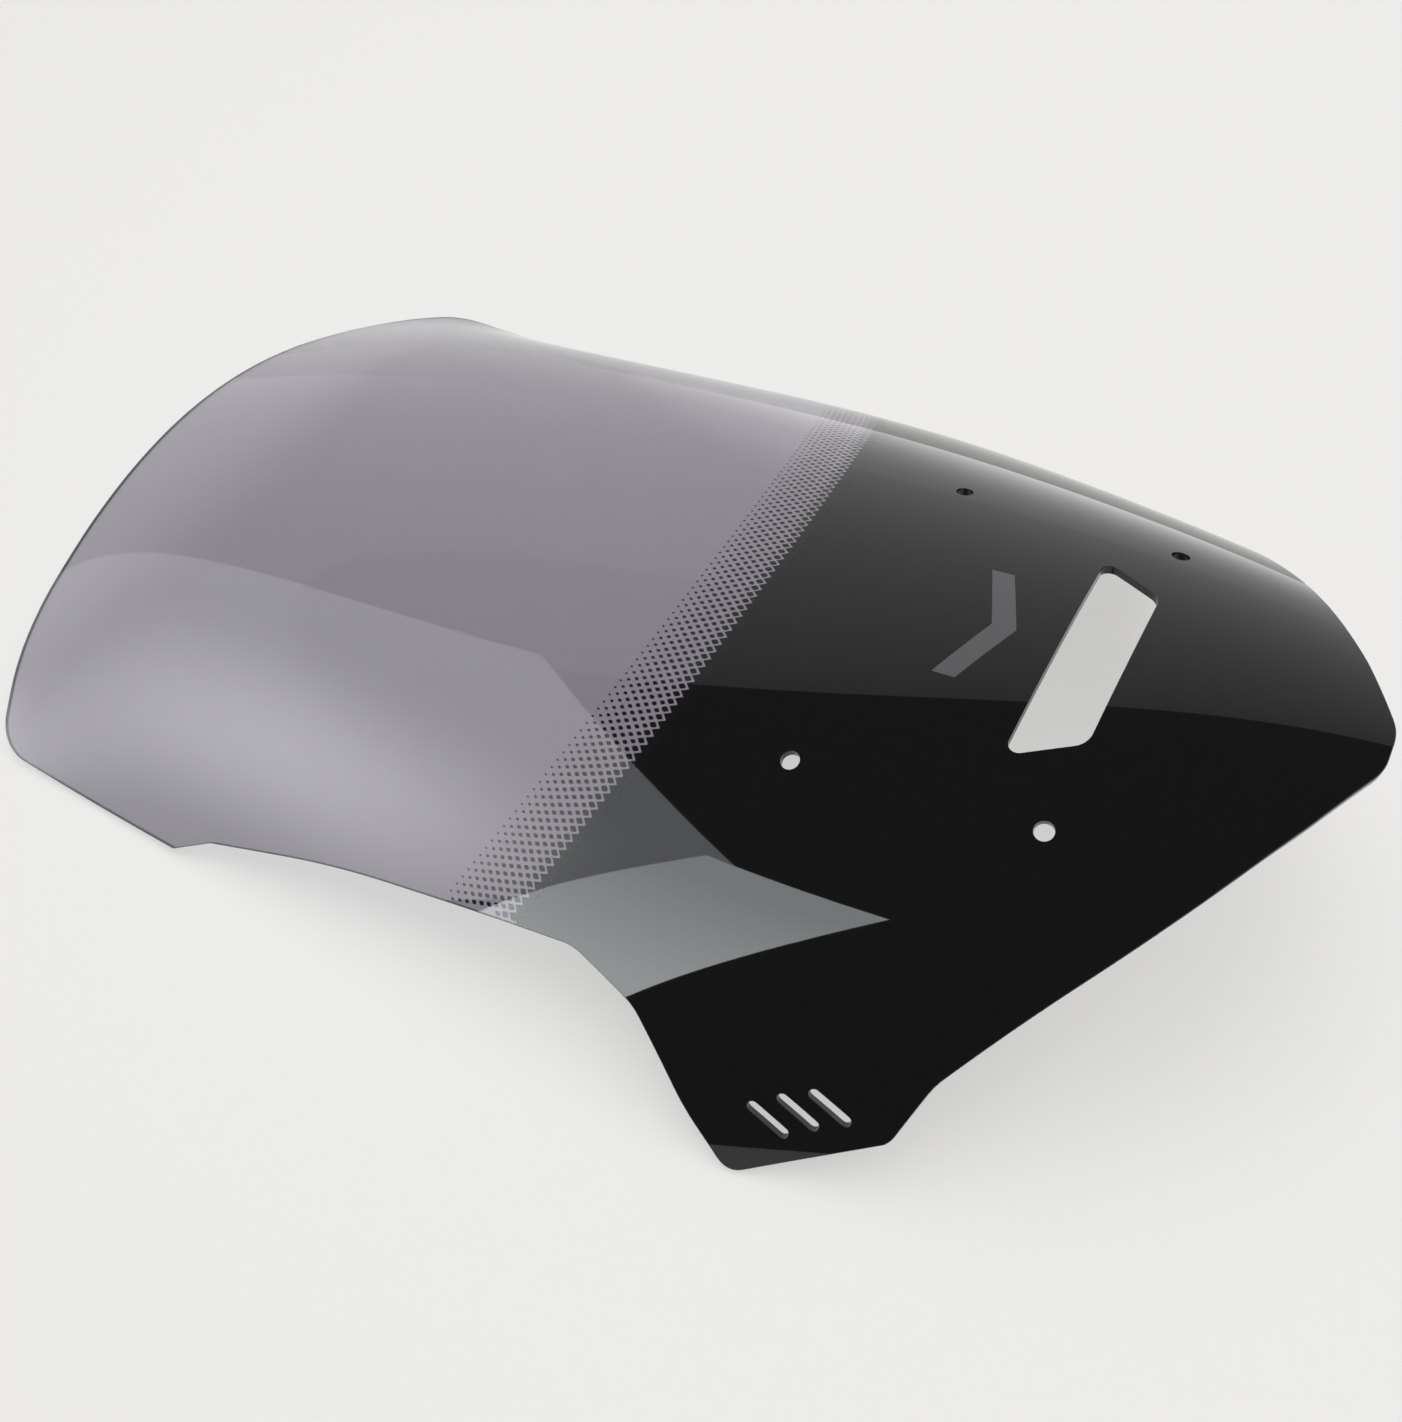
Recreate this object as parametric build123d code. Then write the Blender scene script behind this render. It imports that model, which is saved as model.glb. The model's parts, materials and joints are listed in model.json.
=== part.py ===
"""Motorcycle windshield screen: one thermoformed, smoke-tinted acrylic sheet.

The screen lies on a flat surface, convex side up, on its two upper corners
and its two ears.  +X runs from the rider's edge towards the nose that meets
the fairing, Y is across the motorcycle and +Z is up.  The screen is
symmetrical about the XZ plane.  Millimetres.

The outer face is a smooth form surface.  Every rim, vent and slot wall stands
square to that surface, and each mounting hole is drilled along its normal.
"""
import math
import os

import numpy as np
from build123d import *

# ---------------------------------------------------------------- dimensions
SHEET_T = 3.0            # acrylic thickness
PRINT_T = 0.20           # build-up of the printed layers on the inner face
PRINT_MARGIN = 0.9       # unprinted rim left around the prints
HOLE_R = 3.25            # mounting holes, 6.5 mm diameter
HOLE_UPPER = (39.35, 71.8)    # upper pair, form coordinates (u, |v|)
HOLE_LOWER = (121.8, 65.8)    # lower pair
PRINT_HOLE_CLEAR = 0.45  # print stops short of holes, vent and slots
VENT_U = (100.2, 122.5)  # vent, long side and short side
VENT_HALF = (48.0, 35.0)
VENT_R = (3.4, 7.0)      # corner radii, long side and short side
SLOT_LEN = 16.2          # ear slots, overall length and width
SLOT_W = 3.7
SLOTS = ((80.0, 159.4), (87.9, 154.5), (96.5, 150.0))   # slot centres (u, |v|)
SLOT_SLANT = (16.0, 1.9)      # slot direction in form coordinates (du, d|v|)
# dot band and print border, as even curves u(v) in form coordinates
BORDER = (-4.3, -7.77, -1.34)     # u = a + b (v/100)^2 + c (v/100)^4
BAND_W = 24.4                     # width of the halftone band
# rest pose
TILT = math.radians(2.65)         # the form frame is tipped so that it rests level
SHIFT_X = 43.028
SHIFT_Z = -1.553
# form surface of the outer face: z = sum A[i][j] (u/250)^i (v/160)^(2j)
FORM = (
    (89.103, -44.0969, -13.6403, -1.9063),
    (43.5946, -21.3657, -9.5925, 0.2026),
    (4.989, -20.2827, -30.4637, -24.3193),
    (-12.6594, -7.475, -24.0179, -13.5732),
    (-12.6239, -18.4295, 9.6424, 12.4676),
)
FORM_U, FORM_V = 250.0, 160.0
# half outline in form coordinates: (u, |v|, corner radius)
OUTLINE = (
    (-296.1, 70.9, 350.0), (-294.6, 119.5, 100.0), (-270.9, 162.5, 24.0),
    (-173.0, 166.4, 4.0), (-156.4, 160.7, 12.0), (-99.5, 152.4, 600.0),
    (-1.0, 145.1, 24.0), (25.9, 151.9, 30.0), (53.6, 167.3, 80.0),
    (73.7, 174.3, 11.0), (117.2, 149.8, 6.0), (123.0, 134.4, 14.0),
    (165.4, 77.8, 400.0), (189.1, 36.3, 150.0), (203.3, 8.4, 20.0),
)
# small printed badge between the band and the vent (a plain chevron)
BADGE_U, BADGE_HALF_V = 76.5, 26.0


# -------------------------------------------------------------- form surface
def form(u, v, du=0, dv=0):
    """Height of the outer face, or its first derivative."""
    total = 0.0
    for i, row in enumerate(FORM):
        fu = (u / FORM_U) ** i if du == 0 else (
            i * (u / FORM_U) ** (i - 1) / FORM_U if i else 0.0)
        for j, a in enumerate(row):
            k = 2 * j
            fv = (v / FORM_V) ** k if dv == 0 else (
                k * (v / FORM_V) ** (k - 1) / FORM_V if k else 0.0)
            total += a * fu * fv
    return total


def place(x, y, z):
    """From the form frame to the part's own frame."""
    return Vector(x * math.cos(TILT) + z * math.sin(TILT) + SHIFT_X, y,
                  z * math.cos(TILT) - x * math.sin(TILT) + SHIFT_Z)


def turn(x, y, z):
    return Vector(x * math.cos(TILT) + z * math.sin(TILT), y,
                  z * math.cos(TILT) - x * math.sin(TILT))


def outer(u, v):
    return place(u, v, form(u, v))


def normal(u, v):
    n = np.array([-form(u, v, 1, 0), -form(u, v, 0, 1), 1.0])
    n /= np.linalg.norm(n)
    return turn(*n)


# ---------------------------------------------------------------- flat wires
def rounded_wire(corners):
    """Closed wire of lines and tangent arcs from (x, y, radius) corners."""
    pieces, n = [], len(corners)
    ends = []
    for i, (x, y, r) in enumerate(corners):
        p = np.array([x, y])
        a = np.array(corners[i - 1][:2], float)
        b = np.array(corners[(i + 1) % n][:2], float)
        ua = (a - p) / np.linalg.norm(a - p)
        ub = (b - p) / np.linalg.norm(b - p)
        angle = math.acos(max(-1.0, min(1.0, float(ua @ ub))))
        t = r / math.tan(angle / 2)
        bis = (ua + ub) / np.linalg.norm(ua + ub)
        mid = p + bis * (r / math.sin(angle / 2) - r)
        ends.append((p + ua * t, mid, p + ub * t))
    for i, (start, mid, stop) in enumerate(ends):
        pieces.append(ThreePointArc(tuple(start), tuple(mid), tuple(stop)))
        nxt = ends[(i + 1) % n][0]
        if np.linalg.norm(nxt - stop) > 1e-4:
            pieces.append(Line(tuple(stop), tuple(nxt)))
    return Wire([e for c in pieces for e in c.edges()])


def mirrored(half):
    return [(x, -y, r) for x, y, r in half] + [(x, y, r) for x, y, r in reversed(half)]


def border(v, shift=0.0):
    q = (v / 100.0) ** 2
    return BORDER[0] + BORDER[1] * q + BORDER[2] * q * q + shift


def vent_face(grow=0.0):
    (u0, u1), (h0, h1), (r0, r1) = VENT_U, VENT_HALF, VENT_R
    return Face(rounded_wire([
        (u0 - grow, -h0 - grow * 1.5, r0 + grow), (u1 + grow, -h1 - grow * 0.9, r1 + grow),
        (u1 + grow, h1 + grow * 0.9, r1 + grow), (u0 - grow, h0 + grow * 1.5, r0 + grow)]))


def slot_face(u, v, side, grow=0.0):
    """Round-ended slot of true length and width on the form surface."""
    vv = side * v
    fu, fv = form(u, vv, 1, 0), form(u, vv, 0, 1)
    d = np.array([SLOT_SLANT[0], side * SLOT_SLANT[1]])
    along = np.array([d[0], d[1], fu * d[0] + fv * d[1]])
    along /= np.linalg.norm(along)
    n = np.array([-fu, -fv, 1.0])
    n /= np.linalg.norm(n)
    across = np.cross(n, along)
    r = SLOT_W / 2 + grow
    half = SLOT_LEN / 2 - SLOT_W / 2
    pts = []
    for end in (1, -1):
        for k in range(9):
            t = -math.pi / 2 + math.pi * k / 8
            a = end * (half + r * math.cos(t))
            b = end * r * math.sin(t)
            p = a * along + b * across
            pts.append((u + p[0], vv + p[1]))
    edges = [Spline(*pts[:9]), Line(pts[8], pts[9]), Spline(*pts[9:]), Line(pts[17], pts[0])]
    return Face(Wire([e for c in edges for e in c.edges()]))


def half_plane(shift_lo, shift_hi=None):
    """Plan region between two border curves, or from one to beyond the nose."""
    vs = np.linspace(-190, 190, 21)
    lo = [(float(border(v, shift_lo)), float(v)) for v in vs]
    if shift_hi is None:
        hi = [(260.0, -190.0), (260.0, 190.0)]
        edges = [Spline(*lo), Line(lo[-1], hi[1]), Line(hi[1], hi[0]), Line(hi[0], lo[0])]
    else:
        hi = [(float(border(v, shift_hi)), float(v)) for v in vs]
        edges = [Spline(*lo), Line(lo[-1], hi[-1]), Spline(*hi), Line(hi[0], lo[0])]
    return Face(Wire([e for c in edges for e in c.edges()]))


def badge_face():
    """Plain chevron that points towards the nose."""
    half = ((BADGE_U + 9.0, 0.0), (BADGE_U - 1.5, BADGE_HALF_V), (BADGE_U - 9.5, BADGE_HALF_V),
            (BADGE_U + 0.5, 0.0))
    points = [(u, v) for u, v in half] + [(u, -v) for u, v in reversed(half[1:-1])]
    return Face(Wire(Polyline(*points, close=True).edges()))


# -------------------------------------------------------------- solid makers
def form_patch():
    """Outer face in the form frame, larger than the screen."""
    us = np.linspace(-308, 216, 64)
    vs = np.linspace(-184, 184, 53)
    grid = [[Vector(float(u), float(v), float(form(u, v))) for v in vs] for u in us]
    return Face.make_surface_from_array_of_points(grid, tol=0.005, min_deg=3, max_deg=5)


def trim(patch, plan):
    """Part of the form patch that lies over a plan region."""
    prism = extrude(Pos(0, 0, -120) * plan, 320, dir=(0, 0, 1))
    cut = patch.intersect(prism)
    faces = cut if isinstance(cut, (list, ShapeList)) else cut.faces()
    faces = [f for item in faces for f in item.faces()]
    return faces


def settle(shape):
    """Tip a solid from the form frame into the part's own frame."""
    return Pos(SHIFT_X, 0, SHIFT_Z) * Rot(0, math.degrees(TILT), 0) * shape


def inward(face, depth):
    return Solid.thicken(face, depth, normal_override=Vector(0, 0, -1))


def inner_face(solid, reference):
    """Face of a thickened sheet that lies one thickness inside the reference face."""
    goal = reference.center() - Vector(0, 0, SHEET_T)
    big = sorted(solid.faces(), key=lambda f: -f.area)[:2]
    return min(big, key=lambda f: (f.center() - goal).length)


def drill(u, v, r, depth=30.0):
    n = np.array([-form(u, v, 1, 0), -form(u, v, 0, 1), 1.0])
    n /= np.linalg.norm(n)
    plane = Plane(origin=(u, v, form(u, v)), z_dir=tuple(n))
    return extrude(plane * Circle(r), depth / 2, both=True)


def main():
    os.makedirs("parts", exist_ok=True)
    patch = form_patch()
    plan = Face(rounded_wire(mirrored(OUTLINE)))
    inset = offset(plan, -PRINT_MARGIN, kind=Kind.ARC)
    cuts = [vent_face()] + [slot_face(u, v, s) for u, v in SLOTS for s in (-1, 1)]
    clear = [vent_face(PRINT_HOLE_CLEAR)] + [
        slot_face(u, v, s, PRINT_HOLE_CLEAR) for u, v in SLOTS for s in (-1, 1)]
    holes = [(u, s * v) for u, v in (HOLE_UPPER, HOLE_LOWER) for s in (-1, 1)]

    # the acrylic sheet
    sheet_plan = plan
    for c in cuts:
        sheet_plan = sheet_plan - c
    sheet = inward(trim(patch, sheet_plan)[0], SHEET_T)
    for u, v in holes:
        sheet = sheet - drill(u, v, HOLE_R)

    # prints on the inner face
    badge = badge_face()
    black_plan = inset & half_plane(0.0)
    for c in clear:
        black_plan = black_plan - c
    black_plan = black_plan - badge
    band_plan = inset & half_plane(-BAND_W, 0.0)

    def printed(region, hole_r=None):
        result = None
        for top in trim(patch, region):
            base = inner_face(inward(top, SHEET_T), top)
            film = Solid.thicken(base, PRINT_T, normal_override=Vector(0, 0, -1))
            result = film if result is None else result + film
        if hole_r:
            for u, v in holes:
                result = result - drill(u, v, hole_r)
        return result

    black = printed(black_plan, HOLE_R + PRINT_HOLE_CLEAR)
    band = printed(band_plan)
    mark = printed(badge)

    for name, solid in (("screen_sheet", sheet), ("black_print", black),
                        ("fade_dots", band), ("badge_print", mark)):
        placed = settle(solid)
        print(name, len(placed.solids()), "solids, volume", round(placed.volume, 1),
              "box", placed.bounding_box())
        export_step(placed, f"parts/{name}.step")


main()
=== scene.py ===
"""Motorcycle windshield screen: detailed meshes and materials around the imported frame."""
import json
import math

import bpy
import numpy as np
from mathutils import Matrix, Vector
from mathutils.geometry import delaunay_2d_cdt

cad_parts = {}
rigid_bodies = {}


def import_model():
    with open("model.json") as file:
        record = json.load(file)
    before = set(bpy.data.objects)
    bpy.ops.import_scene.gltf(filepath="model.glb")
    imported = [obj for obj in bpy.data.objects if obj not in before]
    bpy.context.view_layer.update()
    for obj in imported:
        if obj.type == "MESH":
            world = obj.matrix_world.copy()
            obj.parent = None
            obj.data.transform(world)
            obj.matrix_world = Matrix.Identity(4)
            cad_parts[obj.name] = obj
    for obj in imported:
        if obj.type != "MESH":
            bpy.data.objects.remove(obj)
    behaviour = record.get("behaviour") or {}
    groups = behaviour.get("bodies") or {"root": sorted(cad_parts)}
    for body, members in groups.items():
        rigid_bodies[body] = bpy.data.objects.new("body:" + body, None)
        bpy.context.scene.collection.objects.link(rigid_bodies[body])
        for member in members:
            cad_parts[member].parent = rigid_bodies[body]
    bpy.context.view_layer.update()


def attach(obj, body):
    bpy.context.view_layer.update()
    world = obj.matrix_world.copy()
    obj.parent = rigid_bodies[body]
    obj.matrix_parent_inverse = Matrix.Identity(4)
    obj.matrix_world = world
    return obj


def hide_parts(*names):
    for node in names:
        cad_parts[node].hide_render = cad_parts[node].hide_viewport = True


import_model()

scene = bpy.context.scene
scene.view_settings.view_transform = "Standard"

# ------------------------------------------------------------ shared numbers (mm)
SHEET_T = 3.0
EDGE_R, CUT_R = 0.35, 0.15
PRINT_MARGIN = 0.9
HOLE_R = 3.25
HOLES = [(39.35, s * 71.8) for s in (-1, 1)] + [(121.8, s * 65.8) for s in (-1, 1)]
PRINT_HOLE_CLEAR = 0.45
VENT_U, VENT_HALF, VENT_R = (100.2, 122.5), (48.0, 35.0), (3.4, 7.0)
SLOT_LEN, SLOT_W = 16.2, 3.7
SLOTS = ((80.0, 159.4), (87.9, 154.5), (96.5, 150.0))
SLOT_SLANT = (16.0, 1.9)
BORDER = (-6.385, -7.77, -1.34)      # first dot column, u = a + b q + c q^2, q = (v/100)^2
ROW = 3.436                          # dot pitch along a column
COL = 2.36                           # distance between columns
ROW_PHASE = 0.2
DOT_SIDE = (0.74, 0.56, 0.55, 0.55, 0.54, 0.52, 0.49, 0.44, 0.37, 0.27)
TILT = math.radians(2.65)
SHIFT_X, SHIFT_Z = 43.028, -1.553
FORM = np.array((
    (89.103, -44.0969, -13.6403, -1.9063),
    (43.5946, -21.3657, -9.5925, 0.2026),
    (4.989, -20.2827, -30.4637, -24.3193),
    (-12.6594, -7.475, -24.0179, -13.5732),
    (-12.6239, -18.4295, 9.6424, 12.4676),
))
OUTLINE = (
    (-296.1, 70.9, 350.0), (-294.6, 119.5, 100.0), (-270.9, 162.5, 24.0),
    (-173.0, 166.4, 4.0), (-156.4, 160.7, 12.0), (-99.5, 152.4, 600.0),
    (-1.0, 145.1, 24.0), (25.9, 151.9, 30.0), (53.6, 167.3, 80.0),
    (73.7, 174.3, 11.0), (117.2, 149.8, 6.0), (123.0, 134.4, 14.0),
    (165.4, 77.8, 400.0), (189.1, 36.3, 150.0), (203.3, 8.4, 20.0),
)
BADGE_U, BADGE_HALF_V = 76.5, 26.0
MM = 0.001


# ------------------------------------------------------------ form surface
def form(u, v, du=0, dv=0):
    u, v = np.asarray(u, float) / 250.0, np.asarray(v, float) / 160.0
    z = 0.0 * (u + v)
    for i in range(5):
        fu = u ** i if not du else (i * u ** (i - 1) / 250.0 if i else 0.0 * u)
        for j in range(4):
            k = 2 * j
            fv = v ** k if not dv else (k * v ** (k - 1) / 160.0 if k else 0.0 * v)
            z = z + FORM[i, j] * fu * fv
    return z


def normals(uv):
    n = np.stack([-form(uv[:, 0], uv[:, 1], 1, 0), -form(uv[:, 0], uv[:, 1], 0, 1), np.ones(len(uv))], -1)
    return n / np.linalg.norm(n, axis=1, keepdims=True)


def on_form(uv, depth=0.0):
    return np.c_[uv, form(uv[:, 0], uv[:, 1])] - np.asarray(depth).reshape(-1, 1) * normals(uv)


C, S = math.cos(TILT), math.sin(TILT)


def turn(p):
    return np.stack([p[:, 0] * C + p[:, 2] * S, p[:, 1], p[:, 2] * C - p[:, 0] * S], -1)


def place(p):
    return (turn(p) + np.array([SHIFT_X, 0.0, SHIFT_Z])) * MM


# ------------------------------------------------------------ plan curves
def rounded(corners, step=2.0, arc=0.16):
    """Dense closed loop of lines and tangent arcs."""
    out, n, ends = [], len(corners), []
    for i, (x, y, r) in enumerate(corners):
        p = np.array([x, y])
        a, b = np.array(corners[i - 1][:2]), np.array(corners[(i + 1) % n][:2])
        ua, ub = (a - p) / np.linalg.norm(a - p), (b - p) / np.linalg.norm(b - p)
        angle = math.acos(float(np.clip(ua @ ub, -1, 1)))
        t = r / math.tan(angle / 2)
        centre = p + (ua + ub) / np.linalg.norm(ua + ub) * r / math.sin(angle / 2)
        s, e = p + ua * t, p + ub * t
        a0, a1 = math.atan2(*(s - centre)[::-1]), math.atan2(*(e - centre)[::-1])
        d = (a1 - a0 + math.pi) % (2 * math.pi) - math.pi
        m = max(2, int(math.ceil(max(abs(d) / arc, abs(d) * r / step))))
        ends.append([centre + r * np.array([math.cos(a0 + d * k / m), math.sin(a0 + d * k / m)]) for k in range(m + 1)])
    for i, pts in enumerate(ends):
        out += pts
        nxt = ends[(i + 1) % n][0]
        gap = np.linalg.norm(nxt - pts[-1])
        m = max(1, int(math.ceil(gap / step)))
        out += [pts[-1] + (nxt - pts[-1]) * k / m for k in range(1, m)]
    return tidy(np.array(out))


def tidy(loop, least=0.02):
    keep = [0]
    for i in range(1, len(loop)):
        if np.linalg.norm(loop[i] - loop[keep[-1]]) > least:
            keep.append(i)
    if np.linalg.norm(loop[keep[-1]] - loop[0]) <= least:
        keep.pop()
    return loop[keep]


def sheet_loop():
    return rounded([(x, -y, r) for x, y, r in OUTLINE] + [(x, y, r) for x, y, r in OUTLINE[::-1]])


def vent_loop(grow=0.0):
    (u0, u1), (h0, h1), (r0, r1) = VENT_U, VENT_HALF, VENT_R
    return rounded([
        (u0 - grow, -h0 - grow * 1.5, r0 + grow), (u1 + grow, -h1 - grow * 0.9, r1 + grow),
        (u1 + grow, h1 + grow * 0.9, r1 + grow), (u0 - grow, h0 + grow * 1.5, r0 + grow)], 1.5, 0.2)


def local_loop(u, v, pts, along):
    """Closed loop of true-size (a, b) points on the form surface around (u, v)."""
    fu, fv = float(form(u, v, 1, 0)), float(form(u, v, 0, 1))
    a = np.array([along[0], along[1], fu * along[0] + fv * along[1]])
    a /= np.linalg.norm(a)
    n = np.array([-fu, -fv, 1.0])
    n /= np.linalg.norm(n)
    b = np.cross(n, a)
    p = pts[:, :1] * a + pts[:, 1:] * b
    return np.array([u, v]) + p[:, :2]


def slot_loop(u, v, side, grow=0.0):
    r, half = SLOT_W / 2 + grow, SLOT_LEN / 2 - SLOT_W / 2
    pts = []
    for end in (1, -1):
        for k in range(13):
            t = -math.pi / 2 + math.pi * k / 12
            pts.append((end * (half + r * math.cos(t)), end * r * math.sin(t)))
        pts += [(end * half * q, end * r) for q in (0.6, 0.2, -0.2, -0.6)]
    return local_loop(u, side * v, np.array(pts), (SLOT_SLANT[0], side * SLOT_SLANT[1]))


def hole_loop(u, v, r):
    t = np.arange(40) * 2 * math.pi / 40
    return local_loop(u, v, np.c_[r * np.cos(t), r * np.sin(t)], (1.0, 0.0))


def area2(loop):
    x, y = loop[:, 0], loop[:, 1]
    return float((x * np.roll(y, -1) - np.roll(x, -1) * y).sum())


def side_step(loop, s, hole):
    """Plan points moved s millimetres, measured on the surface, out of the material."""
    tangent = np.roll(loop, -1, 0) - np.roll(loop, 1, 0)
    n = normals(loop)
    t3 = np.c_[tangent, (-n[:, 0] * tangent[:, 0] - n[:, 1] * tangent[:, 1]) / n[:, 2]]
    t3 /= np.linalg.norm(t3, axis=1, keepdims=True)
    o = np.cross(t3, n)
    if (area2(loop) < 0) != hole:
        o = -o
    return loop + s * o[:, :2]


def inside(points, loop):
    """Even-odd test of many points against one closed loop."""
    x, y = points[:, 0], points[:, 1]
    hit = np.zeros(len(points), bool)
    for i in range(len(loop)):
        x0, y0 = loop[i - 1]
        x1, y1 = loop[i]
        if y0 == y1:
            continue
        cross = ((y0 > y) != (y1 > y)) & (x < (x1 - x0) * (y - y0) / (y1 - y0) + x0)
        hit ^= cross
    return hit


def near_loop(points, loop, reach):
    grid = {}
    for p in loop:
        grid.setdefault((int(p[0] // reach), int(p[1] // reach)), []).append(p)
    out = np.zeros(len(points), bool)
    for i, p in enumerate(points):
        cx, cy = int(p[0] // reach), int(p[1] // reach)
        for dx in (-1, 0, 1):
            for dy in (-1, 0, 1):
                for q in grid.get((cx + dx, cy + dy), ()):
                    if (p[0] - q[0]) ** 2 + (p[1] - q[1]) ** 2 < reach * reach:
                        out[i] = True
    return out


def triangulate(outer, holes, pitch, guides=()):
    """Plan points and triangles of a region, with an even lattice inside."""
    lo, hi = outer.min(0), outer.max(0)
    us = np.arange(lo[0], hi[0], pitch)
    vs = np.arange(0.5 * pitch, max(abs(lo[1]), hi[1]) + pitch, pitch)
    vs = np.r_[-vs[::-1], vs]
    g = np.array([(u + (pitch / 2 if k % 2 else 0.0), v) for k, v in enumerate(vs) for u in us])
    ok = inside(g, outer)
    for h in holes:
        ok &= ~inside(g, h)
    g = g[ok]
    for loop in (outer, *holes, *guides):
        g = g[~near_loop(g, loop, pitch * 0.6)]
    verts, edges, start = [], [], 0
    for loop in (outer, *holes):
        verts += [Vector((float(p[0]), float(p[1]))) for p in loop]
        edges += [(start + i, start + (i + 1) % len(loop)) for i in range(len(loop))]
        start += len(loop)
    for line in guides:
        verts += [Vector((float(p[0]), float(p[1]))) for p in line]
        edges += [(start + i, start + i + 1) for i in range(len(line) - 1)]
        start += len(line)
    verts += [Vector((float(p[0]), float(p[1]))) for p in g]
    co, _, tris, orig, _, _ = delaunay_2d_cdt(verts, edges, [], 0, 1e-6, True)
    co = np.array([tuple(c) for c in co])
    tris = np.array([t for t in tris if len(t) == 3])
    mid = co[tris].mean(1)
    ok = inside(mid, outer)
    for h in holes:
        ok &= ~inside(mid, h)
    tris = tris[ok]
    a, b, c = co[tris[:, 0]], co[tris[:, 1]], co[tris[:, 2]]
    cross = (b[:, 0] - a[:, 0]) * (c[:, 1] - a[:, 1]) - (b[:, 1] - a[:, 1]) * (c[:, 0] - a[:, 0])
    tris[cross < 0] = tris[cross < 0][:, ::-1]
    where = {}
    for new, olds in enumerate(orig):
        for o in olds:
            where[o] = new
    loops, start = [], 0
    for loop in (outer, *holes):
        loops.append([where[start + i] for i in range(len(loop))])
        start += len(loop)
    return co, tris, loops


# ------------------------------------------------------------ mesh builders
def make_object(name, verts, faces, slots, materials, vertex_normals=None):
    mesh = bpy.data.meshes.new(name)
    mesh.from_pydata([tuple(map(float, p)) for p in verts], [], [tuple(map(int, f)) for f in faces])
    mesh.validate()
    for m in materials:
        mesh.materials.append(m)
    mesh.polygons.foreach_set("material_index", np.array(slots, dtype=np.int32))
    mesh.polygons.foreach_set("use_smooth", np.ones(len(mesh.polygons), bool))
    mesh.update()
    if vertex_normals is not None:
        mesh.normals_split_custom_set_from_vertices([tuple(map(float, n)) for n in vertex_normals])
    ob = bpy.data.objects.new(name, mesh)
    scene.collection.objects.link(ob)
    return ob


def shell(name, outer, holes, top, bottom, radii, pitch, materials, guides, printed):
    """Closed sheet between two depths, with rounded rims that stand square to it."""
    loops = [outer, *holes]
    kinds = [False] + [True] * len(holes)
    inset = [side_step(l, -radii[k], k) for l, k in zip(loops, kinds)]
    co, tris, rings = triangulate(inset[0], inset[1:], pitch, guides)
    nrm = normals(co)
    p_top = np.c_[co, form(co[:, 0], co[:, 1])] - top * nrm
    p_bot = np.c_[co, form(co[:, 0], co[:, 1])] - bottom * nrm
    n = len(co)
    verts = [p_top, p_bot]
    vn = [nrm, -nrm]
    faces = [tuple(t) for t in tris] + [(t[0] + n, t[2] + n, t[1] + n) for t in tris]
    slots = [(0, 3, 5)[q] for q in printed(co[tris].mean(1))] + [0] * len(tris)
    base = 2 * n
    thick = bottom - top
    steps = 3
    for loop, hole, ring in zip(loops, kinds, rings):
        m, edge_r = len(loop), radii[hole]
        dark = printed(loop)
        ln = normals(loop)
        tangent = np.roll(loop, -1, 0) - np.roll(loop, 1, 0)
        t3 = np.c_[tangent, (-ln[:, 0] * tangent[:, 0] - ln[:, 1] * tangent[:, 1]) / ln[:, 2]]
        t3 /= np.linalg.norm(t3, axis=1, keepdims=True)
        out = np.cross(t3, ln)
        if (area2(loop) < 0) != hole:
            out = -out
        prof = []
        r = min(edge_r, thick / 2 - 1e-3)
        for k in range(1, steps + 1):
            t = math.pi / 2 * k / steps
            prof.append((-edge_r + edge_r * math.sin(t), top + r - r * math.cos(t), math.sin(t), math.cos(t)))
        for k in range(steps, 0, -1):
            t = math.pi / 2 * k / steps
            prof.append((-edge_r + edge_r * math.sin(t), bottom - r + r * math.cos(t), math.sin(t), -math.cos(t)))
        rows = []
        for s, w, no, nn in prof:
            q = loop + s * out[:, :2]
            qn = normals(q)
            verts.append(np.c_[q, form(q[:, 0], q[:, 1])] - w * qn)
            vn.append(no * out + nn * ln)
            rows.append(list(range(base, base + m)))
            base += m
        rows = [ring] + rows + [[i + n for i in ring]]
        flip = (area2(loop) > 0) == hole
        for a, b in zip(rows[:-1], rows[1:]):
            for i in range(m):
                j = (i + 1) % m
                f = (a[i], b[i], b[j], a[j])
                faces.append(f[::-1] if flip else f)
                slots.append(2 if hole else (4 if dark[i] else 1))
    verts = place(np.concatenate(verts))
    vn = turn(np.concatenate(vn))
    vn /= np.linalg.norm(vn, axis=1, keepdims=True)
    return make_object(name, verts, faces, slots, materials, vn)


# ------------------------------------------------------------ materials
def principled(name, colour, rough, **more):
    m = bpy.data.materials.new(name)
    m.use_nodes = True
    b = m.node_tree.nodes["Principled BSDF"]
    b.inputs["Base Color"].default_value = (*colour, 1)
    b.inputs["Roughness"].default_value = rough
    for k, val in more.items():
        b.inputs[k.replace("_", " ")].default_value = val
    return m, b


TINT = (0.345, 0.330, 0.375)


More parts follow.
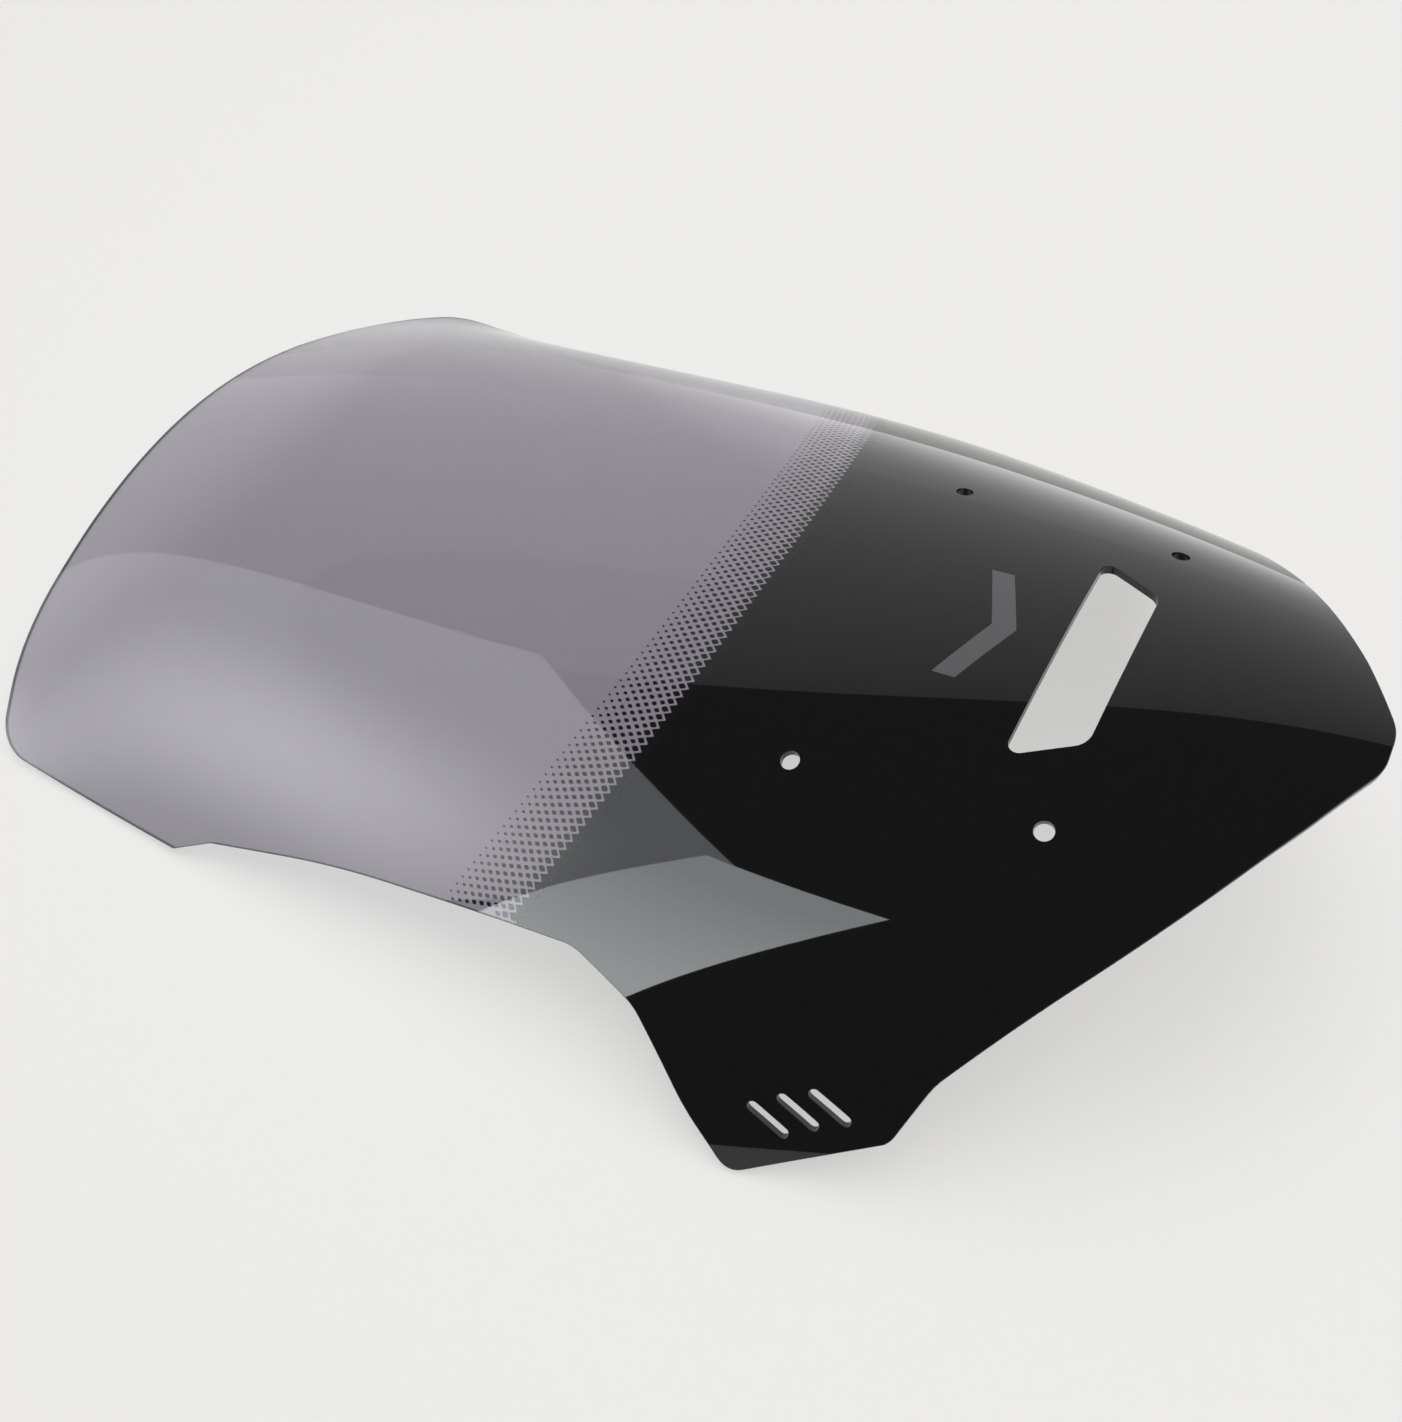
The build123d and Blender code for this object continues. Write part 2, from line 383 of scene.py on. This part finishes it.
def acrylic():
    """Smoke-tinted clear acrylic that lets lamps through to what is behind it."""
    m, b = principled("smoke_acrylic", TINT, 0.02, IOR=1.49, Transmission_Weight=1.0)
    nt = m.node_tree
    tc = nt.nodes.new("ShaderNodeTexCoord")
    noise = nt.nodes.new("ShaderNodeTexNoise")
    noise.inputs["Scale"].default_value = 9.0
    noise.inputs["Detail"].default_value = 1.0
    nt.links.new(tc.outputs["Object"], noise.inputs["Vector"])
    bump = nt.nodes.new("ShaderNodeBump")
    bump.inputs["Strength"].default_value = 0.04
    bump.inputs["Distance"].default_value = 0.004
    nt.links.new(noise.outputs["Fac"], bump.inputs["Height"])
    nt.links.new(bump.outputs["Normal"], b.inputs["Normal"])
    clear = nt.nodes.new("ShaderNodeBsdfTransparent")
    clear.inputs["Color"].default_value = (*[math.sqrt(0.94 * c) for c in TINT], 1)
    path = nt.nodes.new("ShaderNodeLightPath")
    mix = nt.nodes.new("ShaderNodeMixShader")
    nt.links.new(path.outputs["Is Shadow Ray"], mix.inputs[0])
    nt.links.new(b.outputs[0], mix.inputs[1])
    nt.links.new(clear.outputs[0], mix.inputs[2])
    nt.links.new(mix.outputs[0], nt.nodes["Material Output"].inputs["Surface"])
    return m


def cut_edge(name, low, high, rough):
    """Routed and polished edge, slightly uneven."""
    m, b = principled(name, low, rough, IOR=1.49)
    nt = m.node_tree
    tc = nt.nodes.new("ShaderNodeTexCoord")
    noise = nt.nodes.new("ShaderNodeTexNoise")
    noise.inputs["Scale"].default_value = 140.0
    noise.inputs["Detail"].default_value = 3.0
    nt.links.new(tc.outputs["Object"], noise.inputs["Vector"])
    ramp = nt.nodes.new("ShaderNodeValToRGB")
    ramp.color_ramp.elements[0].position = 0.3
    ramp.color_ramp.elements[0].color = (*low, 1)
    ramp.color_ramp.elements[1].position = 0.75
    ramp.color_ramp.elements[1].color = (*high, 1)
    nt.links.new(noise.outputs["Fac"], ramp.inputs[0])
    nt.links.new(ramp.outputs[0], b.inputs["Base Color"])
    bump = nt.nodes.new("ShaderNodeBump")
    bump.inputs["Strength"].default_value = 0.1
    bump.inputs["Distance"].default_value = 0.0003
    nt.links.new(noise.outputs["Fac"], bump.inputs["Height"])
    nt.links.new(bump.outputs["Normal"], b.inputs["Normal"])
    return m


def ink(name, dark, light, rough, spec):
    """Screen-printed ink with a faint unevenness."""
    m, b = principled(name, dark, rough)
    b.inputs["Specular IOR Level"].default_value = spec
    nt = m.node_tree
    tc = nt.nodes.new("ShaderNodeTexCoord")
    noise = nt.nodes.new("ShaderNodeTexNoise")
    noise.inputs["Scale"].default_value = 260.0
    noise.inputs["Detail"].default_value = 2.0
    nt.links.new(tc.outputs["Object"], noise.inputs["Vector"])
    ramp = nt.nodes.new("ShaderNodeValToRGB")
    ramp.color_ramp.elements[0].color = (*dark, 1)
    ramp.color_ramp.elements[1].color = (*light, 1)
    nt.links.new(noise.outputs["Fac"], ramp.inputs[0])
    nt.links.new(ramp.outputs[0], b.inputs["Base Color"])
    return m


M_SHEET = acrylic()
M_RIM = cut_edge("outer_edge", (0.075, 0.098, 0.100), (0.120, 0.150, 0.150), 0.25)
M_RIM_DARK = cut_edge("printed_edge", (0.026, 0.038, 0.039), (0.050, 0.068, 0.068), 0.2)
M_CUT = cut_edge("opening_edge", (0.006, 0.007, 0.008), (0.013, 0.015, 0.017), 0.2)
M_BLACK = ink("black_ink", (0.0035, 0.0035, 0.004), (0.006, 0.006, 0.0065), 0.45, 0.25)
M_GLOSS = ink("black_under_gloss", (0.0025, 0.0025, 0.003), (0.0045, 0.0045, 0.005), 0.02, 0.5)
M_GLOSS.node_tree.nodes["Principled BSDF"].inputs["IOR"].default_value = 1.49
M_MARK = ink("grey_under_gloss", (0.075, 0.073, 0.079), (0.092, 0.090, 0.096), 0.02, 0.5)
M_MARK.node_tree.nodes["Principled BSDF"].inputs["IOR"].default_value = 1.49
M_DOT = ink("dot_ink", (0.006, 0.006, 0.008), (0.012, 0.012, 0.015), 0.5, 0.2)
M_GREY = ink("grey_ink", (0.20, 0.19, 0.20), (0.25, 0.24, 0.25), 0.5, 0.2)

# ------------------------------------------------------------ the sheet
def column_u(v):
    q = (np.asarray(v, float) / 100.0) ** 2
    return BORDER[0] + BORDER[1] * q + BORDER[2] * q * q


SET_BACK = 6.5


def badge_loop():
    half = ((BADGE_U + 9.0, 0.0), (BADGE_U - 1.5, BADGE_HALF_V), (BADGE_U - 9.5, BADGE_HALF_V),
            (BADGE_U + 0.5, 0.0))
    pts = [(u, v) for u, v in half] + [(u, -v) for u, v in reversed(half[1:-1])]
    out = []
    for a, b in zip(pts, pts[1:] + pts[:1]):
        a, b = np.array(a), np.array(b)
        m = max(1, int(np.linalg.norm(b - a) / 2.5))
        out += [a + (b - a) * k / m for k in range(m)]
    return np.array(out)


badge = badge_loop()


def printed(points):
    """Plan points whose outer face shows plain gloss ink: 1 black, 2 badge grey."""
    dark = points[:, 0] > column_u(points[:, 1]) + SET_BACK
    return np.where(dark, np.where(inside(points, badge), 2, 1), 0)


outer = sheet_loop()
cuts = [vent_loop()] + [slot_loop(u, v, s) for u, v in SLOTS for s in (-1, 1)] + [hole_loop(u, v, HOLE_R) for u, v in HOLES]
border_v = np.linspace(-144.0, 144.0, 97)
guides = [np.c_[column_u(border_v) + SET_BACK, border_v], np.r_[badge, badge[:1] + 0.001]]
sheet = shell("screen_sheet_detail", outer, cuts, 0.0, SHEET_T, (EDGE_R, CUT_R), 4.0,
              [M_SHEET, M_RIM, M_CUT, M_GLOSS, M_RIM_DARK, M_MARK], guides, printed)
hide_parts("screen_sheet")
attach(sheet, "root")


# ------------------------------------------------------------ print layout
VV = np.linspace(-185, 185, 741)
_p = on_form(np.c_[column_u(VV), VV])
ARC = np.r_[0, np.cumsum(np.linalg.norm(np.diff(_p, axis=0), axis=1))]
ARC -= np.interp(0.0, VV, ARC)


def band_point(s, w):
    """Plan point at arc length s along the dot column and w mm towards the rider's edge."""
    s, w = np.atleast_1d(np.asarray(s, float)), np.atleast_1d(np.asarray(w, float))
    v = np.interp(s, ARC, VV)
    u = column_u(v)
    du = (column_u(v + 0.5) - column_u(v - 0.5))
    fu, fv = form(u, v, 1, 0), form(u, v, 0, 1)
    t = np.stack([du, np.ones_like(v), fu * du + fv], -1)
    t /= np.linalg.norm(t, axis=1, keepdims=True)
    n = normals(np.c_[u, v])
    o = np.cross(t, n)
    o[o[:, 0] > 0] *= -1
    q = np.c_[u, v] + w[:, None] * o[:, :2]
    return q


print_edge = side_step(outer, -PRINT_MARGIN, False)
# black region: inset outline, cut by the zigzag border
g = 0.14 * 2 * COL
rows = np.arange(-70, 71)
zig = []
for k in rows:
    zig.append(((k - ROW_PHASE) * ROW, -(COL + g)))
    zig.append(((k - ROW_PHASE + 0.5) * ROW, -g))
zig = np.array(zig)
zig = zig[(zig[:, 0] > ARC[0]) & (zig[:, 0] < ARC[-1])]
zig_uv = band_point(zig[:, 0], zig[:, 1])
ok = inside(zig_uv, print_edge)
first, last = np.where(ok)[0][[0, -1]]


def crossing(a, b):
    """Where the zigzag leaves the inset outline, and after which outline point."""
    for i in range(len(print_edge)):
        p, q = print_edge[i - 1], print_edge[i]
        m = np.array([b - a, p - q]).T
        if abs(np.linalg.det(m)) < 1e-9:
            continue
        t, s = np.linalg.solve(m, p - a)
        if 0 <= t <= 1 and 0 <= s <= 1:
            return a + t * (b - a), i
    raise RuntimeError("border misses the rim")


near_pt, near_i = crossing(zig_uv[first], zig_uv[first - 1])
far_pt, far_i = crossing(zig_uv[last], zig_uv[last + 1])
# walk the outline from the near crossing round the nose to the far crossing
walk = []
i = near_i
direction = 1
probe = print_edge[(near_i + 3) % len(print_edge)]
if probe[0] < near_pt[0]:
    direction, i = -1, near_i - 1
while True:
    i %= len(print_edge)
    walk.append(print_edge[i])
    if direction == 1 and i == (far_i - 1) % len(print_edge):
        break
    if direction == -1 and i == far_i % len(print_edge):
        break
    i += direction
black_loop = tidy(np.array([near_pt, *walk, far_pt, *zig_uv[first:last + 1][::-1]]))


clear = [vent_loop(PRINT_HOLE_CLEAR)] + [slot_loop(u, v, s, PRINT_HOLE_CLEAR) for u, v in SLOTS for s in (-1, 1)]
clear += [hole_loop(u, v, HOLE_R + PRINT_HOLE_CLEAR) for u, v in HOLES] + [badge]


def film(name, loop, holes, top, bottom, pitch, material):
    """Thin print layer with square edges."""
    co, tris, rings = triangulate(loop, holes, pitch)
    nrm = normals(co)
    n = len(co)
    flat = np.c_[co, form(co[:, 0], co[:, 1])]
    faces = [tuple(t) for t in tris] + [(t[0] + n, t[2] + n, t[1] + n) for t in tris]
    for lp, hole, ring in zip([loop, *holes], [False] + [True] * len(holes), rings):
        flip = (area2(lp) > 0) == hole
        for i in range(len(ring)):
            j = (i + 1) % len(ring)
            f = (ring[i], ring[i] + n, ring[j] + n, ring[j])
            faces.append(f[::-1] if flip else f)
    verts = place(np.r_[flat - top * nrm, flat - bottom * nrm])
    vn = turn(np.r_[nrm, -nrm])
    return make_object(name, verts, faces, [0] * len(faces), [material], vn)


black = film("black_print_detail", black_loop, clear, SHEET_T - 0.06, SHEET_T + 0.14, 5.0, M_BLACK)
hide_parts("black_print")
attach(black, "root")

mark = film("badge_detail", badge, [], SHEET_T - 0.06, SHEET_T + 0.14, 5.0, M_GREY)
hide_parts("badge_print")
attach(mark, "root")

# ------------------------------------------------------------ halftone dots
verts, faces, vn = [], [], []
for m, side in enumerate(DOT_SIDE):
    phase = (0.5 if m % 2 else 0.0) - ROW_PHASE
    s = (rows + phase) * ROW
    s = s[(s > ARC[0] + 3) & (s < ARC[-1] - 3)]
    centre = band_point(s, np.full(len(s), m * COL))
    keep = inside(centre, side_step(outer, -1.2, False))
    for sc in s[keep]:
        h = side / 2
        # diamond whose sides run along the two lattice directions, softened corners
        ring = []
        for a, b in ((1, 1), (-1, 1), (-1, -1), (1, -1)):
            for (ca, cb) in (((a, b * 0.62), (a * 0.62, b)) if a * b > 0 else ((a * 0.62, b), (a, b * 0.62))):
                i_, j_ = ca * h, cb * h
                ring.append((sc + (i_ - j_) * ROW / 2, m * COL - (i_ + j_) * COL))
        ring = np.array(ring)
        uv = band_point(ring[:, 0], ring[:, 1])
        if area2(uv) < 0:
            uv = uv[::-1]
        nr = normals(uv)
        p = np.c_[uv, form(uv[:, 0], uv[:, 1])]
        b0, c = len(verts), len(uv)
        verts += list(p - (SHEET_T - 0.06) * nr) + list(p - (SHEET_T + 0.1) * nr)
        vn += list(nr) + list(-nr)
        faces.append(tuple(b0 + k for k in range(c)))
        faces.append(tuple(b0 + c + k for k in range(c))[::-1])
        for k in range(c):
            j = (k + 1) % c
            faces.append((b0 + k, b0 + c + k, b0 + c + j, b0 + j))
dots = make_object("fade_dots_detail", place(np.array(verts)), faces, [0] * len(faces), [M_DOT])
for p in dots.data.polygons:
    p.use_smooth = False
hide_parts("fade_dots")
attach(dots, "root")

# ------------------------------------------------------------ floor
floor_mesh = bpy.data.meshes.new("floor")
floor_mesh.from_pydata([(-6, -6, -0.0004), (6, -6, -0.0004), (6, 6, -0.0004), (-6, 6, -0.0004)], [], [(0, 1, 2, 3)])
m_floor, fb = principled("floor_paper", (0.812, 0.808, 0.800), 0.6)
fb.inputs["Specular IOR Level"].default_value = 0.0
floor_mesh.materials.append(m_floor)
floor = bpy.data.objects.new("floor", floor_mesh)
scene.collection.objects.link(floor)

# pale wall far behind, so low views do not look past the floor into the dark
ring = [(5.6 * math.cos(math.radians(a)), 5.6 * math.sin(math.radians(a))) for a in range(0, 360, 6)]
wall_mesh = bpy.data.meshes.new("backdrop")
wall_mesh.from_pydata([(x, y, -0.01) for x, y in ring] + [(x, y, 5.0) for x, y in ring], [],
                      [(k, (k + 1) % 60, 60 + (k + 1) % 60, 60 + k) for k in range(60)])
m_wall = bpy.data.materials.new("backdrop_paper")
m_wall.use_nodes = True
m_wall.node_tree.nodes.remove(m_wall.node_tree.nodes["Principled BSDF"])
glow = m_wall.node_tree.nodes.new("ShaderNodeEmission")
glow.inputs["Color"].default_value = (0.80, 0.80, 0.80, 1)
m_wall.node_tree.links.new(glow.outputs[0], m_wall.node_tree.nodes["Material Output"].inputs["Surface"])
wall_mesh.materials.append(m_wall)
wall = bpy.data.objects.new("backdrop", wall_mesh)
scene.collection.objects.link(wall)
wall.visible_diffuse = wall.visible_glossy = wall.visible_shadow = False

# ------------------------------------------------------------ camera
cam = bpy.data.cameras.new("camera")
cam.sensor_fit = "HORIZONTAL"
cam.sensor_width = 36.0
cam.lens = 36.446
cam.clip_start = 0.02
cam_ob = bpy.data.objects.new("camera", cam)
R = Vector((0.86867461, 0.49357122, -0.04233048))
U = Vector((-0.35980822, 0.68736515, 0.63092567))
F = Vector((-0.34050325, 0.53283825, -0.77468764))
cam_ob.matrix_world = Matrix.Translation((0.212059, -0.319945, 0.449519)) @ Matrix((
    (R.x, U.x, -F.x, 0), (R.y, U.y, -F.y, 0), (R.z, U.z, -F.z, 0), (0, 0, 0, 1)))
scene.collection.objects.link(cam_ob)
scene.camera = cam_ob

# ------------------------------------------------------------ light
world = bpy.data.worlds.new("studio")
scene.world = world
world.use_nodes = True
world.node_tree.nodes["Background"].inputs["Color"].default_value = (0.115, 0.115, 0.115, 1)
world.node_tree.nodes["Background"].inputs["Strength"].default_value = 1.0


def lamp_common(o, glossy=False):
    scene.collection.objects.link(o)
    o.visible_camera = False
    o.visible_glossy = glossy
    o.visible_transmission = False


def area(name, loc, target, size, power, colour=(1, 1, 1)):
    l = bpy.data.lights.new(name, "AREA")
    l.shape = "RECTANGLE"
    l.size, l.size_y = size
    l.energy = power
    l.color = colour
    o = bpy.data.objects.new(name, l)
    o.location = loc
    o.rotation_euler = (Vector(target) - Vector(loc)).to_track_quat("-Z", "Y").to_euler()
    lamp_common(o)


area("overhead", (0.1, 0.3, 2.2), (0, 0, 0), (2.6, 2.6), 18.5)
fill = bpy.data.lights.new("fill", "SUN")
fill.energy = 2.12
fill.angle = 0.5
fill.use_shadow = False
fill_ob = bpy.data.objects.new("fill", fill)
fill_ob.rotation_euler = (0.12, -0.08, 0.0)
lamp_common(fill_ob)


def card(name, points, az, el, dist, colour, low, high, z0, z1, free="z", spot=None):
    """Flat glowing studio card, seen only in reflections; strength runs from z0 to z1."""
    az, el = math.radians(az), math.radians(el)
    n = (math.cos(el) * math.cos(az), math.cos(el) * math.sin(az), math.sin(el))
    verts = []
    for a, b in points:
        if free == "z":
            verts.append((a, b, (dist - n[0] * a - n[1] * b) / n[2]))
        else:
            verts.append((a, (dist - n[0] * a - n[2] * b) / n[1], b))
    mesh = bpy.data.meshes.new(name)
    mesh.from_pydata(verts, [], [tuple(range(len(verts)))])
    m = bpy.data.materials.new(name)
    m.use_nodes = True
    nt = m.node_tree
    nt.nodes.remove(nt.nodes["Principled BSDF"])
    em = nt.nodes.new("ShaderNodeEmission")
    em.inputs["Color"].default_value = (*colour, 1)
    tc = nt.nodes.new("ShaderNodeTexCoord")
    xyz = nt.nodes.new("ShaderNodeSeparateXYZ")
    ramp = nt.nodes.new("ShaderNodeMapRange")
    for k, v in (("From Min", z0), ("From Max", z1), ("To Min", low), ("To Max", high)):
        ramp.inputs[k].default_value = v
    nt.links.new(tc.outputs["Object"], xyz.inputs[0])
    nt.links.new(xyz.outputs["Z"], ramp.inputs["Value"])
    total = ramp.outputs[0]
    if spot:
        near = nt.nodes.new("ShaderNodeVectorMath")
        near.operation = "DISTANCE"
        near.inputs[1].default_value = spot[0]
        nt.links.new(tc.outputs["Object"], near.inputs[0])
        soft = nt.nodes.new("ShaderNodeMapRange")
        soft.interpolation_type = "SMOOTHSTEP"
        for k, v in (("From Min", 0.0), ("From Max", spot[1]), ("To Min", spot[2]), ("To Max", 0.0)):
            soft.inputs[k].default_value = v
        nt.links.new(near.outputs["Value"], soft.inputs["Value"])
        both = nt.nodes.new("ShaderNodeMath")
        nt.links.new(total, both.inputs[0])
        nt.links.new(soft.outputs[0], both.inputs[1])
        total = both.outputs[0]
    nt.links.new(total, em.inputs["Strength"])
    nt.links.new(em.outputs[0], nt.nodes["Material Output"].inputs["Surface"])
    mesh.materials.append(m)
    o = bpy.data.objects.new(name, mesh)
    lamp_common(o, True)
    o.visible_diffuse = False
    o.visible_shadow = False


def rect(az, el, dist, h0, h1, w0, w1):
    """Plan corners of a true rectangle in a card's plane, from its foot point."""
    az, el = math.radians(az), math.radians(el)
    n = np.array([math.cos(el) * math.cos(az), math.cos(el) * math.sin(az), math.sin(el)])
    h = np.array([-math.sin(az), math.cos(az), 0.0])
    w = np.cross(n, h)
    return [tuple(map(float, (n * dist + a * h + b * w)[:2])) for a, b in ((h0, w0), (h1, w0), (h1, w1), (h0, w1))]


card("back_card", [(1.8, 2.35), (-2.4, 2.35), (-2.4, -0.1), (1.8, -0.1)],
     128, 0, 1.3, (1.0, 1.0, 1.0), 0.95, 0.45, 0.05, 2.4, free="y", spot=((-1.45, 0.52, 0.2), 1.3, 0.4))
card("sweep_card", [(-0.7, -0.01), (1.0, -0.01), (1.0, 0.13), (-0.7, 0.13)],
     90, 0, 0.36, (1.0, 1.0, 1.0), 0.9, 0.98, 0.0, 0.13, free="y", spot=((0.08, 0.36, -0.35), 0.49, 5.5))
card("front_flag", [(0.03, -0.01), (1.5, -0.01), (1.5, 0.08), (0.03, 0.08)],
     -90, 0, 0.42, (1.0, 1.0, 1.0), 0.12, 0.11, 0.0, 0.25, free="y")
card("left_softbox", rect(-150, 35, 0.9, -0.40, 0.40, -0.92, 0.42),
     -150, 35, 0.9, (0.97, 0.98, 1.0), 1.3, 2.0, 0.05, 0.6, spot=((-0.62, -0.47, 0.46), 0.42, 3.4))
card("front_softbox", rect(-118, 42, 0.9, -0.03, 0.26, -0.45, 0.22),
     -118, 42, 0.9, (0.94, 0.99, 1.0), 7.5, 4.6, 0.45, 0.72)

for o in scene.objects:
    if o.type == "CAMERA":
        o.data.dof.use_dof = False
